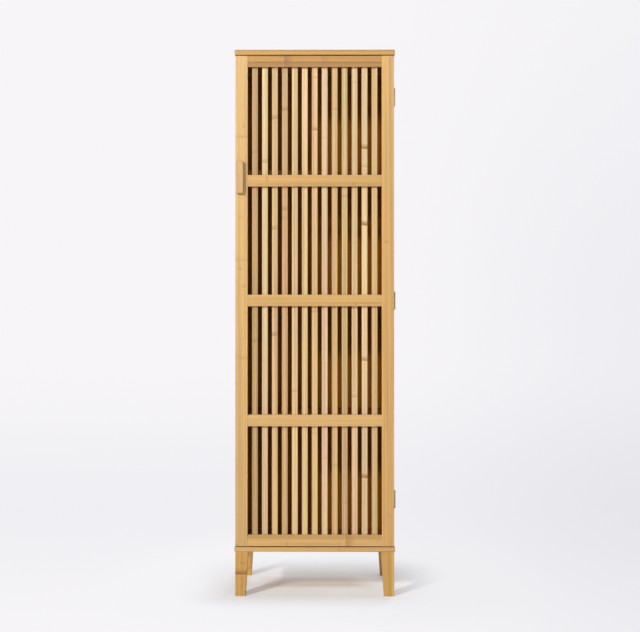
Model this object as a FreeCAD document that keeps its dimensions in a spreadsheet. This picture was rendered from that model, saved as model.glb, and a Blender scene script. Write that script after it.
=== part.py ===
import FreeCAD, Part
import os
from collections import namedtuple

import Sketcher

# A tall bamboo cabinet with one louvred door, in millimetres. +X is to the right, the door faces -Y
# and +Z is up. The origin is on the floor, at the middle of the width and of the depth with the handle.

Vector = FreeCAD.Vector
doc = FreeCAD.newDocument("louvred_cabinet")

SIZES = (
    # the whole cabinet
    ("overall_height", 1600),
    ("panel_width", 470),
    ("panel_depth", 330),
    ("top_thick", 16),
    ("bottom_thick", 14),
    ("panel_round", 3),
    ("side_overhang", 2.5),
    ("front_overhang", 3),
    ("side_thick", 14),
    ("side_round", 1),
    ("back_thick", 5),
    ("back_lap", 7),
    ("back_gap", 0.4),
    ("joint_fit", 0.1),
    # legs
    ("leg_height", 130),
    ("leg_top", 38),
    ("leg_foot", 30),
    ("leg_round", 2.5),
    ("stud_inset", 20),
    ("stud_width", 8),
    ("stud_in_leg", 30),
    ("insert_width", 12),
    ("insert_height", 11),
    # shelves
    ("shelf_thick", 14),
    ("shelf_round", 1.5),
    ("shelf_setback", 12),
    ("shelf_side_gap", 1),
    ("shelf_back_gap", 1),
    ("rise_upper", 34),
    ("rise_middle", 14),
    ("rise_lower", 14),
    ("pin_width", 5),
    ("pin_length", 18),
    ("pin_hole_depth", 9),
    ("pin_inset", 40),
    # door frame
    ("door_thick", 20),
    ("door_head_gap", 2),
    ("door_foot_gap", 2),
    ("stile_width", 36),
    ("frame_round", 1),
    ("top_rail_height", 32),
    ("bottom_rail_height", 33),
    ("mid_rail_height", 34),
    ("mid_rail_round", 1.5),
    ("top_lip", 14),
    ("bottom_lip", 10),
    ("lip_setback", 2),
    ("tenon_length", 12),
    ("tenon_thick", 6),
    ("tenon_inset", 5),
    ("tenon_shoulder", 4),
    # slats
    ("slat_width", 17),
    ("slat_thick", 8),
    ("slat_lap", 18),
    ("slat_round", 1),
    # handle
    ("handle_inset", 3),
    ("handle_width", 20.5),
    ("handle_length", 94),
    ("handle_depth", 15),
    ("handle_round", 2),
    ("handle_drop", 357),
    ("handle_screw_spacing", 64),
    ("handle_screw_sink", 4),
    # hinges
    ("hinge_gap", 3),
    ("hinge_height", 52),
    ("hinge_drop", 118.5),
    ("hinge_rise", 135),
    ("knuckle_width", 5),
    ("knuckle_gap", 0.3),
    ("hinge_pin_width", 2.4),
    ("hinge_pin_play", 0.05),
    ("pin_head_width", 4),
    ("pin_head_height", 1),
    ("leaf_width", 13),
    ("leaf_thick", 1.1),
    ("leaf_relief", 0.4),
    ("leaf_screw_inset", 8.5),
    ("leaf_screw_spacing", 30),
    # magnetic catch
    ("catch_inset", 45),
    ("catch_width", 48),
    ("catch_depth", 15),
    ("catch_height", 12),
    ("catch_ear", 10),
    ("catch_ear_thick", 3),
    ("magnet_width", 22),
    ("magnet_height", 6),
    ("magnet_reach", 1),
    ("magnet_gap", 0.4),
    ("strike_width", 40),
    ("strike_height", 10),
    ("strike_thick", 1.2),
    ("strike_screw_spacing", 26),
    # dowels and screws
    ("dowel_width", 6),
    ("dowel_length", 22),
    ("dowel_end_gap", 0.5),
    ("dowel_inset", 40),
    ("case_screw_inset", 92),
    ("case_screw_sink", 4),
    ("back_screw_inset", 45),
    # screws: the shank's and the head's width, a pan head's height and the length under the head
    ("screw_point", 3),
    ("hinge_screw_shank", 2.4),
    ("hinge_screw_head", 4.6),
    ("hinge_screw_length", 12),
    ("back_screw_shank", 3),
    ("back_screw_head", 5.2),
    ("back_screw_length", 18),
    ("strike_screw_shank", 2.4),
    ("strike_screw_head", 4.6),
    ("strike_screw_length", 12),
    ("catch_screw_shank", 3),
    ("catch_screw_head", 6),
    ("catch_screw_head_height", 2),
    ("catch_screw_length", 14),
    ("case_screw_shank", 5),
    ("case_screw_head", 9),
    ("case_screw_head_height", 3.2),
    ("case_screw_length", 48),
    ("handle_screw_shank", 4),
    ("handle_screw_head", 7.5),
    ("handle_screw_head_height", 2.6),
    ("handle_screw_length", 27),
)
KNUCKLES = 5
SLATS = 13
MID_RAILS = 3
BACK_SCREWS = 5
# A pan head's flat crown and its upright rim, as shares of the head's width and height.
PAN_CROWN = 0.3
PAN_RIM = 0.4


class Size:
    """A length that knows both its value and the expression which gives it in the document."""

    def __init__(self, text, value):
        self.text = text
        self.value = value

    def joined(self, sign, other, value, swap=False):
        other = as_size(other)
        first, second = (other, self) if swap else (self, other)
        return Size(f"({first.text} {sign} {second.text})", value(first.value, second.value))

    def __add__(self, other):
        return self.joined("+", other, lambda a, b: a + b)

    def __radd__(self, other):
        return self.joined("+", other, lambda a, b: a + b, swap=True)

    def __sub__(self, other):
        return self.joined("-", other, lambda a, b: a - b)

    def __rsub__(self, other):
        return self.joined("-", other, lambda a, b: a - b, swap=True)

    def __mul__(self, other):
        return self.joined("*", other, lambda a, b: a * b)

    __rmul__ = __mul__

    def __truediv__(self, other):
        return self.joined("/", other, lambda a, b: a / b)

    def __neg__(self):
        return self * -1


def as_size(length):
    return length if isinstance(length, Size) else Size(str(length), float(length))


zero = as_size(0)
sheet = doc.addObject("Spreadsheet::Sheet", "sizes")
for row, (alias, number) in enumerate(SIZES, start=1):
    sheet.set(f"A{row}", alias)
    sheet.set(f"B{row}", str(number))
    sheet.setAlias(f"B{row}", alias)
doc.recompute()


class Sheet:
    """Reads a named cell of the sheet as a Size."""

    def __getattr__(self, alias):
        return Size(f"sizes.{alias}", float(getattr(sheet, alias)))


s = Sheet()
places = doc.addObject("App::VarSet", "places")


def keep(name, length):
    """Names a worked-out length in the document, so that the pieces can refer to it."""
    places.addProperty("App::PropertyFloat", name, "Places")
    setattr(places, name, length.value)
    places.setExpression(name, length.text)
    return Size(f"places.{name}", length.value)


def bind(item, path, length):
    length = as_size(length)
    item.setExpression(path, length.text)


def place(item, x, y, z, turn=None):
    """Stands an object at a place in the cabinet's frame, turned if need be."""
    x, y, z = as_size(x), as_size(y), as_size(z)
    item.Placement = FreeCAD.Placement(Vector(x.value, y.value, z.value), turn or FreeCAD.Rotation())
    for letter, length in zip("xyz", (x, y, z)):
        bind(item, f"Placement.Base.{letter}", length)


Hole = namedtuple("Hole", "across up width")
# The origin plane across each axis: its role, the two axes in it and which way its normal points.
PLANES = {
    "X": ("YZ_Plane", "YZ", "+"),
    "Y": ("XZ_Plane", "XZ", "-"),
    "Z": ("XY_Plane", "XY", "+"),
}


def rectangle(left, low, right, high):
    return [(left, low), (right, low), (right, high), (left, high)]


def along(vector, axis):
    """A vector's length along X, Y or Z."""
    return getattr(vector, axis.lower())


class Piece:
    """One part, as a PartDesign body whose own corner stands at a home place. Its outlines are given
    in the cabinet's frame and are drawn from that corner."""

    def __init__(self, label, x=0, y=0, z=0):
        self.body = doc.addObject("PartDesign::Body", label)
        self.body.Label = label
        self.home = {"X": as_size(x), "Y": as_size(y), "Z": as_size(z)}
        place(self.body, *self.home.values())

    def sketch(self, name, axis, level, outlines):
        role, (first, second), normal = PLANES[axis]
        plane = next(f for f in self.body.Origin.OriginFeatures if f.Role == role)
        sketch = self.body.newObject("Sketcher::SketchObject", f"{self.body.Label}_{name}_outline")
        sketch.AttachmentSupport = (plane, [""])
        sketch.MapMode = "FlatFace"
        offset = level - self.home[axis]
        bind(sketch, "AttachmentOffset.Base.z", offset if normal == "+" else -offset)
        for outline in outlines:
            if isinstance(outline, Hole):
                centre = (outline.across - self.home[first], outline.up - self.home[second])
                radius = as_size(outline.width) / 2
                middle = Vector(centre[0].value, centre[1].value, 0)
                index = sketch.addGeometry(Part.Circle(middle, Vector(0, 0, 1), radius.value), False)
                self.fix_point(sketch, index, 3, centre)
                constraint = sketch.addConstraint(Sketcher.Constraint("Radius", index, radius.value))
                bind(sketch, f"Constraints[{constraint}]", radius)
                continue
            corners = [(a - self.home[first], b - self.home[second]) for a, b in outline]
            ends = [Vector(a.value, b.value, 0) for a, b in corners]
            start = sketch.GeometryCount
            for number, end in enumerate(ends):
                sketch.addGeometry(Part.LineSegment(end, ends[(number + 1) % len(ends)]), False)
            for number in range(len(ends)):
                after = start + (number + 1) % len(ends)
                sketch.addConstraint(Sketcher.Constraint("Coincident", start + number, 2, after, 1))
            for number, corner in enumerate(corners):
                self.fix_point(sketch, start + number, 1, corner)
        return sketch

    @staticmethod
    def fix_point(sketch, index, point, corner):
        """Ties a point of the sketch to its two lengths from the sketch's origin."""
        for letter, length in zip("XY", corner):
            distance = Sketcher.Constraint(f"Distance{letter}", -1, 1, index, point, length.value)
            constraint = sketch.addConstraint(distance)
            bind(sketch, f"Constraints[{constraint}]", length)

    def pad(self, name, axis, start, outlines, length):
        """Adds solid from `start` along the axis."""
        feature = self.body.newObject("PartDesign::Pad", f"{self.body.Label}_{name}")
        feature.Profile = self.sketch(name, axis, start, outlines)
        feature.Reversed = PLANES[axis][2] == "-"
        bind(feature, "Length", length)
        doc.recompute()
        return feature

    def cut(self, name, way, start, outlines, depth):
        """Takes solid away from `start`, in the direction `way`, such as -Z."""
        sign, axis = way
        feature = self.body.newObject("PartDesign::Pocket", f"{self.body.Label}_{name}")
        feature.Profile = self.sketch(name, axis, start, outlines)
        feature.Reversed = sign == PLANES[axis][2]
        bind(feature, "Length", depth)
        doc.recompute()
        return feature

    def repeat(self, name, features, axis, length, count):
        """Repeats features in a row that is `length` long from the first copy to the last."""
        pattern = self.body.newObject("PartDesign::LinearPattern", f"{self.body.Label}_{name}")
        pattern.Originals = features
        pattern.Direction = (self.axis_line(axis), [""])
        pattern.Occurrences = count
        bind(pattern, "Length", length)
        self.body.Tip = pattern
        doc.recompute()
        return pattern

    def axis_line(self, axis):
        return next(f for f in self.body.Origin.OriginFeatures if f.Role == f"{axis}_Axis")

    def ease(self, name, kind, length, chosen):
        """Rounds or bevels the edges that `chosen` picks."""
        base = self.body.Tip
        edges = [f"Edge{n}" for n, edge in enumerate(base.Shape.Edges, start=1) if chosen(edge)]
        feature = self.body.newObject(f"PartDesign::{kind}", f"{self.body.Label}_{name}")
        feature.Base = (base, edges)
        bind(feature, "Radius" if kind == "Fillet" else "Size", length)
        doc.recompute()
        return feature

    def local(self, axis, level):
        """A level of the cabinet's frame, as a number in this piece's own frame."""
        return (as_size(level) - self.home[axis]).value


# Two lengths that differ by less are the same length.
SAME_PLACE = 1e-4


def runs_along(edge, axis):
    """True for a straight edge that lies along the axis."""
    if edge.Curve.TypeId != "Part::GeomLine":
        return False
    run = edge.Vertexes[1].Point - edge.Vertexes[0].Point
    return abs(abs(along(run, axis)) - run.Length) < SAME_PLACE


def lies_at(edge, axis, level):
    return all(abs(along(vertex.Point, axis) - level) < SAME_PLACE for vertex in edge.Vertexes)


def front_edge(axis):
    """Picks the edges of a piece's front face that run along the axis."""
    return lambda edge: runs_along(edge, axis) and lies_at(edge, "Y", 0)


def is_round(edge):
    return edge.Curve.TypeId == "Part::GeomCircle"


nodes = []


def board(label, low, high):
    """A square-edged board between two corners, given as (x, y, z)."""
    piece = Piece(label, *low)
    outline = rectangle(low[0], low[1], high[0], high[1])
    piece.pad("board", "Z", low[2], [outline], high[2] - low[2])
    nodes.append(piece.body)
    return piece


AIM = {
    # the way that a screw's head faces
    "+X": Vector(1, 0, 0),
    "-X": Vector(-1, 0, 0),
    "+Y": Vector(0, 1, 0),
    "-Y": Vector(0, -1, 0),
    "+Z": Vector(0, 0, 1),
    "-Z": Vector(0, 0, -1),
}


def copies(label, piece, spots, way="+Z"):
    """Stands copies of a small piece at several spots, as one group of separate solids."""
    turn = FreeCAD.Rotation(AIM["+Z"], AIM[way])
    links = []
    for number, spot in enumerate(spots, start=1):
        link = doc.addObject("App::Link", f"{label}_{number}")
        link.LinkedObject = piece.body
        place(link, *spot, turn=turn)
        links.append(link)
    group = doc.addObject("Part::Compound", label)
    group.Label = label
    group.Links = links
    nodes.append(group)


def turned(label, profile):
    """A round piece, turned about its own Z axis from half of its outline."""
    piece = Piece(label)
    sketch = piece.sketch("turned", "Y", zero, [profile])
    feature = piece.body.newObject("PartDesign::Revolution", f"{label}_turned")
    feature.Profile = sketch
    feature.ReferenceAxis = (sketch, ["V_Axis"])
    feature.Angle = 360
    doc.recompute()
    return piece


Screw = namedtuple("Screw", "shape shank head length")


def screw(label, sunk):
    """A wood screw whose head faces +Z. A sunk head is a 45 degree cone below its own Z origin, and a
    pan head stands on it."""
    shank, head, length = (getattr(s, f"{label}_{part}") for part in ("shank", "head", "length"))
    tail = [(shank / 2, s.screw_point - length), (zero, -length)]
    if sunk:
        profile = [(zero, zero), (head / 2, zero), (shank / 2, (shank - head) / 2)] + tail
    else:
        height = getattr(s, f"{label}_head_height")
        rim = [(head / 2, height * PAN_RIM), (head / 2, zero)]
        profile = [(zero, height), (head * PAN_CROWN, height)] + rim + [(shank / 2, zero)] + tail
    return Screw(turned(label, profile), shank, head, length)


# Places that several pieces share.
half_body = keep("half_body", s.panel_width / 2 - s.side_overhang)
half_inside = keep("half_inside", half_body - s.side_thick)
half_opening = keep("half_opening", half_body - s.stile_width)
case_back = keep("case_back", (s.panel_depth - s.front_overhang + s.handle_depth) / 2)
panel_front = keep("panel_front", case_back - s.panel_depth)
door_front = keep("door_front", panel_front + s.front_overhang)
door_back = keep("door_back", door_front + s.door_thick)
side_front = keep("side_front", door_back + s.hinge_gap)
back_front = keep("back_front", case_back - s.back_thick)
deck = keep("deck", s.leg_height + s.bottom_thick)
ceiling = keep("ceiling", s.overall_height - s.top_thick)
door_foot = keep("door_foot", deck + s.door_foot_gap)
door_head = keep("door_head", ceiling - s.door_head_gap)
opening_foot = keep("opening_foot", door_foot + s.bottom_rail_height)
opening_head = keep("opening_head", door_head - s.top_rail_height)
bay = keep("bay", (opening_head - opening_foot - s.mid_rail_height * MID_RAILS) / (MID_RAILS + 1))
rail_feet = [
    keep(f"rail_foot_{n + 1}", opening_foot + bay + (bay + s.mid_rail_height) * n) for n in range(MID_RAILS)
]
side_middle = keep("side_middle", half_body - s.side_thick / 2)
handle_middle = keep("handle_middle", door_head - s.handle_drop)
handle_left = keep("handle_left", s.handle_inset - half_body)
handle_x = keep("handle_x", handle_left + s.handle_width / 2)
hinge_x = keep("hinge_x", half_body + s.knuckle_width / 2)
hinge_y = keep("hinge_y", door_back + s.hinge_gap / 2)
hinge_middles = {
    "upper": keep("hinge_upper", door_head - s.hinge_drop),
    "middle": keep("hinge_middle", rail_feet[1] + s.mid_rail_height / 2),
    "lower": keep("hinge_lower", door_foot + s.hinge_rise),
}
leaf_screw_heights = [
    middle + s.leaf_screw_spacing / 2 * way for middle in hinge_middles.values() for way in (-1, 1)
]
leaf_screw_x = keep("leaf_screw_x", hinge_x - s.leaf_screw_inset)
catch_x = keep("catch_x", s.catch_inset - half_opening)
SIDES = {"left": -1, "right": 1}

# Screws: sunk heads where a leaf, a plate or a board's face has to stay flush, pan heads in deeper holes.
hinge_screw = screw("hinge_screw", sunk=True)
back_screw = screw("back_screw", sunk=True)
strike_screw = screw("strike_screw", sunk=True)
catch_screw = screw("catch_screw", sunk=False)
case_screw = screw("case_screw", sunk=False)
handle_screw = screw("handle_screw", sunk=False)


def pilot(across, up, fastener):
    """The hole that a screw's shank fills."""
    return Hole(across, up, fastener.shank + s.joint_fit * 2)


def bore_for(across, up, fastener):
    """The wider hole that a screw's head drops into."""
    return Hole(across, up, fastener.head + s.joint_fit * 4)


def countersink(piece, name, fastener, axis, level):
    """Opens the rims at a level so that sunk heads seat flush."""
    depth = (fastener.head - fastener.shank) / 2
    rim = piece.local(axis, level)
    piece.ease(name, "Chamfer", depth, lambda edge: is_round(edge) and lies_at(edge, axis, rim))


# Top and bottom panels: boards with softly rounded edges that stand proud of the case at the front and
# sides. Dowels hold them to the side panels, and screws come up through the bottom panel.
dowel_rows = [side_front + s.dowel_inset, case_back - s.dowel_inset]
dowel_spots = [(side_middle * way, row) for way in SIDES.values() for row in dowel_rows]
case_screw_spots = [
    (side_middle * way, row)
    for way in SIDES.values()
    for row in (side_front + s.case_screw_inset, case_back - s.case_screw_inset)
]
# Each leg's outer corner, and the way from it to the cabinet's middle along X and along Y.
leg_corners = {
    "front_left": (-half_body, door_front, 1, 1),
    "front_right": (half_body, door_front, -1, 1),
    "back_right": (half_body, case_back, -1, -1),
    "back_left": (-half_body, case_back, 1, -1),
}
stud_spots = [
    (x + s.stud_inset * way_x, y + s.stud_inset * way_y) for x, y, way_x, way_y in leg_corners.values()
]
dowel_holes = [Hole(x, y, s.dowel_width + s.joint_fit * 2) for x, y in dowel_spots]
dowel_depth = s.dowel_length / 2 + s.dowel_end_gap

panel_half = s.panel_width / 2
top = board("top_panel", (-panel_half, panel_front, ceiling), (panel_half, case_back, s.overall_height))
top.ease("round", "Fillet", s.panel_round, lambda edge: True)
top.cut("dowel_holes", "+Z", ceiling, dowel_holes, dowel_depth)
catch_screw_x = (s.catch_width - s.catch_ear) / 2
magnet_front = keep("magnet_front", door_back + s.strike_thick + s.magnet_gap)
catch_front = keep("catch_front", magnet_front + s.magnet_reach)
catch_screw_spots = [(catch_x + catch_screw_x * way, catch_front + s.catch_depth / 2) for way in (-1, 1)]
catch_pilots = [pilot(x, y, catch_screw) for x, y in catch_screw_spots]
top.cut("catch_pilots", "+Z", ceiling, catch_pilots, catch_screw.length - s.catch_ear_thick)

bottom = board("bottom_panel", (-panel_half, panel_front, s.leg_height), (panel_half, case_back, deck))
bottom.ease("round", "Fillet", s.panel_round, lambda edge: True)
bottom.cut("dowel_holes", "-Z", deck, dowel_holes, dowel_depth)
insert_holes = [Hole(x, y, s.insert_width + s.joint_fit * 2) for x, y in stud_spots]
bottom.cut("insert_holes", "+Z", s.leg_height, insert_holes, s.insert_height)
case_pilots = [pilot(x, y, case_screw) for x, y in case_screw_spots]
case_head_holes = [bore_for(x, y, case_screw) for x, y in case_screw_spots]
bottom.cut("screw_holes", "+Z", s.leg_height, case_pilots, s.bottom_thick)
bottom.cut("head_holes", "+Z", s.leg_height, case_head_holes, s.case_screw_sink)

# Side panels: full-height boards between the two panels, rebated at the back for the back panel.
back_screw_low = deck + s.back_screw_inset
back_screw_pitch = (ceiling - s.back_screw_inset - back_screw_low) / (BACK_SCREWS - 1)
back_screw_heights = [back_screw_low + back_screw_pitch * n for n in range(BACK_SCREWS)]
back_screw_x = keep("back_screw_x", half_inside + s.back_lap / 2)
rises = {"upper": s.rise_upper, "middle": s.rise_middle, "lower": s.rise_lower}
shelf_tops = {
    name: keep(f"shelf_top_{name}", foot + s.mid_rail_height / 2 + rise)
    for (name, rise), foot in zip(rises.items(), reversed(rail_feet))
}
shelf_front = keep("shelf_front", side_front + s.shelf_setback)
shelf_back = keep("shelf_back", back_front - s.shelf_back_gap)
pin_rows = [shelf_front + s.pin_inset, shelf_back - s.pin_inset]
pin_heights = [height - s.shelf_thick - s.joint_fit - s.pin_width / 2 for height in shelf_tops.values()]
for name, way in SIDES.items():
    outer, inner = half_body * way, half_inside * way
    low_x, high_x = (outer, inner) if way < 0 else (inner, outer)
    side = board(f"side_panel_{name}", (low_x, side_front, deck), (high_x, case_back, ceiling))
    side.ease("round", "Fillet", s.side_round, front_edge("Z"))
    lap = inner + s.back_lap * way
    lap_low, lap_high = (lap, inner) if way < 0 else (inner, lap)
    side.cut("rebate", "+Z", deck, [rectangle(lap_low, back_front, lap_high, case_back)], ceiling - deck)
    own_dowels = [hole for hole in dowel_holes if hole.across.value * way > 0]
    side.cut("dowel_holes_low", "+Z", deck, own_dowels, dowel_depth)
    side.cut("dowel_holes_high", "-Z", ceiling, own_dowels, dowel_depth)
    own_screws = [hole for hole in case_pilots if hole.across.value * way > 0]
    side.cut("case_pilots", "+Z", deck, own_screws, case_screw.length - s.bottom_thick + s.case_screw_sink)
    pin_holes = [Hole(y, z, s.pin_width + s.joint_fit * 2) for y in pin_rows for z in pin_heights]
    side.cut("pin_holes", "-X" if way < 0 else "+X", inner, pin_holes, s.pin_hole_depth)
    back_pilots = [pilot(back_screw_x * way, z, back_screw) for z in back_screw_heights]
    side.cut("back_pilots", "-Y", back_front, back_pilots, back_screw.length - s.back_thick)
    if name == "right":
        hinge_pilots = [pilot(leaf_screw_x, z, hinge_screw) for z in leaf_screw_heights]
        side.cut("hinge_pilots", "+Y", side_front, hinge_pilots, hinge_screw.length - s.leaf_thick)

# Back panel: a thin board that lies in the side panels' rebates, with sunk screws along both edges.
back_half = half_inside + s.back_lap - s.back_gap
back = board(
    "back_panel",
    (-back_half, back_front, deck + s.back_gap),
    (back_half, case_back, ceiling - s.back_gap),
)
back_seats = [(back_screw_x * way, case_back, z) for way in SIDES.values() for z in back_screw_heights]
back_holes = [pilot(x, z, back_screw) for x, y, z in back_seats]
back.cut("screw_holes", "-Y", case_back, back_holes, s.back_thick)
countersink(back, "countersinks", back_screw, "Y", case_back)

# Three shelves rest on round pins in the side panels.
shelf_half = half_inside - s.shelf_side_gap
for name, height in shelf_tops.items():
    shelf = board(
        f"shelf_{name}",
        (-shelf_half, shelf_front, height - s.shelf_thick),
        (shelf_half, shelf_back, height),
    )
    shelf.ease("round", "Fillet", s.shelf_round, front_edge("X"))

shelf_pin = turned("shelf_pin", rectangle(zero, zero, s.pin_width / 2, s.pin_length))
pin_bottom = s.pin_hole_depth - s.joint_fit
pin_start = half_inside + pin_bottom
pin_spots = [
    (x, y, z) for x in (-pin_start, pin_start - s.pin_length) for y in pin_rows for z in pin_heights
]
copies("shelf_pins", shelf_pin, pin_spots, "+X")

# Legs: square posts whose two outer faces are upright and whose two inner faces are planed to a taper,
# each turned a quarter on from the last. A stud joins each to an insert in the bottom panel.
for quarter, (name, (x, y, way_x, way_y)) in enumerate(leg_corners.items()):
    leg = Piece(f"leg_{name}")
    leg.pad("post", "Z", zero, [rectangle(zero, zero, s.leg_top, s.leg_top)], s.leg_height)
    wedge = [(s.leg_foot, zero), (s.leg_top, zero), (s.leg_top, s.leg_height)]
    leg.cut("side_taper", "+Y", zero, [wedge], s.leg_top)
    leg.cut("front_taper", "+X", zero, [wedge], s.leg_top)
    leg.ease("round", "Fillet", s.leg_round, lambda edge: not lies_at(edge, "Z", edge.Vertexes[0].Point.z))
    stud_hole = Hole(s.stud_inset, s.stud_inset, s.stud_width + s.joint_fit * 2)
    leg.cut("stud_hole", "-Z", s.leg_height, [stud_hole], s.stud_in_leg + s.joint_fit)
    place(leg.body, x, y, 0, FreeCAD.Rotation(AIM["+Z"], 360 * quarter / len(leg_corners)))
    nodes.append(leg.body)

stud_length = s.stud_in_leg + s.insert_height - s.joint_fit
stud = turned("leg_stud", rectangle(zero, zero, s.stud_width / 2, stud_length))
copies("leg_studs", stud, [(x, y, s.leg_height - s.stud_in_leg) for x, y in stud_spots])
insert_bore = s.stud_width / 2 + s.joint_fit
insert_top = s.insert_height - s.joint_fit
insert = turned("leg_insert", rectangle(insert_bore, zero, s.insert_width / 2, insert_top))
copies("leg_inserts", insert, [(x, y, s.leg_height) for x, y in stud_spots])
dowel = turned("dowel", rectangle(zero, zero, s.dowel_width / 2, s.dowel_length))
dowel_feet = [joint - s.dowel_length / 2 for joint in (deck, ceiling)]
copies("case_dowels", dowel, [(x, y, z) for x, y in dowel_spots for z in dowel_feet])
case_seats = [(x, y, s.leg_height + s.case_screw_sink) for x, y in case_screw_spots]
copies("case_screws", case_screw.shape, case_seats, "-Z")
copies("back_screws", back_screw.shape, back_seats, "+Y")

# Door frame: two stiles with blind mortises, a lipped rail at the head and at the foot, and three plain
# rails. The slats lie behind the rails, flush with the back of the frame.
rails = {"bottom": (door_foot, s.bottom_rail_height), "top": (opening_head, s.top_rail_height)}
for name, foot in zip(("lower", "middle", "upper"), rail_feet):
    rails[name] = (foot, s.mid_rail_height)
rail_thick = keep("rail_thick", s.door_thick - s.slat_thick)
tenon_front = keep("tenon_front", door_front + s.tenon_inset)


def tenon(foot, height, room=0):
    """The section of a rail's tenon, or of its mortise with room round it."""
    low = foot + s.tenon_shoulder - room
    high = foot + height - s.tenon_shoulder + room
    return rectangle(tenon_front - room, low, tenon_front + s.tenon_thick + room, high)


sink_y = door_back - s.handle_screw_sink
handle_screw_heights = [handle_middle + s.handle_screw_spacing / 2 * way for way in (-1, 1)]
for name, way in SIDES.items():
    outer, inner = half_body * way, half_opening * way
    low_x, high_x = (outer, inner) if way < 0 else (inner, outer)
    stile = board(f"door_stile_{name}", (low_x, door_front, door_foot), (high_x, door_back, door_head))
    stile.ease("round", "Fillet", s.frame_round, lambda edge: runs_along(edge, "Z"))
    mortises = [tenon(foot, height, s.joint_fit) for foot, height in rails.values()]
    stile.cut("mortises", "-X" if way < 0 else "+X", inner, mortises, s.tenon_length + s.joint_fit)
    if name == "left":
        handle_holes = [pilot(handle_x, z, handle_screw) for z in handle_screw_heights]
        head_holes = [bore_for(handle_x, z, handle_screw) for z in handle_screw_heights]
        stile.cut("handle_holes", "-Y", door_back, handle_holes, s.door_thick)
        stile.cut("handle_head_holes", "-Y", door_back, head_holes, s.handle_screw_sink)
    else:
        hinge_pilots = [pilot(leaf_screw_x, z, hinge_screw) for z in leaf_screw_heights]
        stile.cut("hinge_pilots", "-Y", door_back, hinge_pilots, hinge_screw.length - s.leaf_thick)


def rail(name, outline, radius):
    """A door rail: its section padded between the stiles, with a tenon at each end."""
    foot, height = rails[name]
    piece = Piece(f"door_rail_{name}", -half_opening, door_front, foot)
    piece.pad("rail", "X", -half_opening, [outline], half_opening * 2)
    piece.ease("round", "Fillet", radius, front_edge("X"))
    length = (half_opening + s.tenon_length) * 2
    piece.pad("tenons", "X", -half_opening - s.tenon_length, [tenon(foot, height)], length)
    nodes.append(piece.body)
    return piece


rail_back = door_front + rail_thick
lip_front = door_front + s.lip_setback
slat_head = keep("slat_head", opening_head + s.slat_lap)
slat_foot = keep("slat_foot", opening_foot - s.slat_lap)
lip_foot = opening_head + s.top_lip
lip_head = opening_foot - s.bottom_lip
top_section = [
    (lip_front, opening_head),
    (rail_back, opening_head),
    (rail_back, slat_head),
    (door_back, slat_head),
    (door_back, door_head),
    (door_front, door_head),
    (door_front, lip_foot),
    (lip_front, lip_foot),
]
bottom_section = [
    (door_front, door_foot),
    (door_back, door_foot),
    (door_back, slat_foot),
    (rail_back, slat_foot),
    (rail_back, opening_foot),
    (lip_front, opening_foot),
    (lip_front, lip_head),
    (door_front, lip_head),
]
top_rail = rail("top", top_section, s.frame_round)
rail("bottom", bottom_section, s.frame_round)
for name in ("upper", "middle", "lower"):
    foot, height = rails[name]
    rail(name, rectangle(door_front, foot, rail_back, foot + height), s.mid_rail_round)
strike_low = (slat_head + door_head - s.strike_height) / 2
strike_middle = keep("strike_middle", strike_low + s.strike_height / 2)
strike_screw_spots = [(catch_x + s.strike_screw_spacing / 2 * way, strike_middle) for way in (-1, 1)]
strike_pilots = [pilot(x, z, strike_screw) for x, z in strike_screw_spots]
top_rail.cut("strike_pilots", "-Y", door_back, strike_pilots, strike_screw.length - s.strike_thick)

# Slats: even gaps between the stiles, one long strip from rebate to rebate.
slat_gap = keep("slat_gap", (half_opening * 2 - s.slat_width * SLATS) / (SLATS + 1))
for number in range(1, SLATS + 1):
    left = (slat_gap + s.slat_width) * number - s.slat_width - half_opening
    slat = board(
        f"slat_{number:02d}",
        (left, rail_back, slat_foot + s.joint_fit),
        (left + s.slat_width, door_back, slat_head - s.joint_fit),
    )
    slat.ease("round", "Fillet", s.slat_round, lambda edge: runs_along(edge, "Z"))

# Handle: a plain wooden bar on the left stile, near its outer edge, with two screws from behind.
handle = board(
    "handle",
    (handle_left, door_front - s.handle_depth, handle_middle - s.handle_length / 2),
    (handle_left + s.handle_width, door_front, handle_middle + s.handle_length / 2),
)
handle.ease("round", "Fillet", s.handle_round, lambda edge: not lies_at(edge, "Y", s.handle_depth.value))
handle_pilots = [pilot(handle_x, z, handle_screw) for z in handle_screw_heights]
handle_grip = handle_screw.length - s.door_thick + s.handle_screw_sink
handle.cut("pilots", "-Y", door_front, handle_pilots, handle_grip + s.joint_fit)
copies("handle_screws", handle_screw.shape, [(handle_x, sink_y, z) for z in handle_screw_heights], "+Y")

# Butt hinges: a leaf on the side panel's front edge and a leaf on the door's back, whose knuckles take
# turns round one pin just outside the case.
knuckle_pitch = keep("knuckle_pitch", s.hinge_height / KNUCKLES)
knuckle_length = knuckle_pitch - s.knuckle_gap
hinge_bore = s.hinge_pin_width + s.hinge_pin_play * 2
root_edge = s.knuckle_width / 2 + s.leaf_relief


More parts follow.
